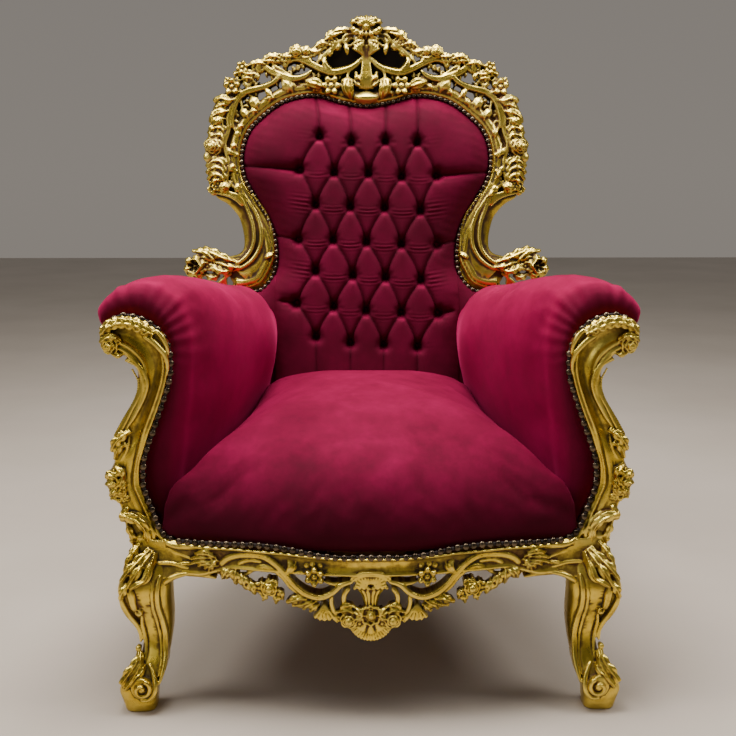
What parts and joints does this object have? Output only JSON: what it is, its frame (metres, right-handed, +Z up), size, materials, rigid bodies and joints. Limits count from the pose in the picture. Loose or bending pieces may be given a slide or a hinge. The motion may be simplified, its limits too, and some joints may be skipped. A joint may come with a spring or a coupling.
{
  "type": "throne armchair",
  "caption": "Gilded baroque throne armchair with a pierced, carved crest and apron, cabriole legs, and a deep-buttoned back, domed seat and rolled arms in crimson velvet.",
  "frame": {"origin": "middle of the bounding box at floor level, where the feet stand", "axes": "+Z up, the chair faces -Y, +X to the right seen from the front"},
  "size_m": [0.94, 0.8242, 1.255],
  "materials": {
    "gilded_wood": "gold leaf over red bole, burnished, with dark toning in the hollows",
    "gilded_wood_plain": "gold leaf over red bole, satin",
    "crimson_velvet": "short-pile velvet",
    "bronze_nails": "domed upholstery nails, antique bronze",
    "dark_backing": "thin board stained nearly black"
  },
  "bodies": {
    "root": {"back_frame": "gilded_wood", "front_rail": "gilded_wood", "left_side_rail": "gilded_wood_plain", "right_side_rail": "gilded_wood_plain", "rear_rail": "gilded_wood_plain", "left_front_leg": "gilded_wood", "right_front_leg": "gilded_wood", "left_rear_leg": "gilded_wood_plain", "right_rear_leg": "gilded_wood_plain", "left_arm_front": "gilded_wood", "right_arm_front": "gilded_wood", "left_arm_pad": "crimson_velvet", "right_arm_pad": "crimson_velvet", "seat_cushion": "crimson_velvet", "back_cushion": "crimson_velvet", "back_panel": "crimson_velvet", "crest_backing": "dark_backing"}
  },
  "joints": []
}
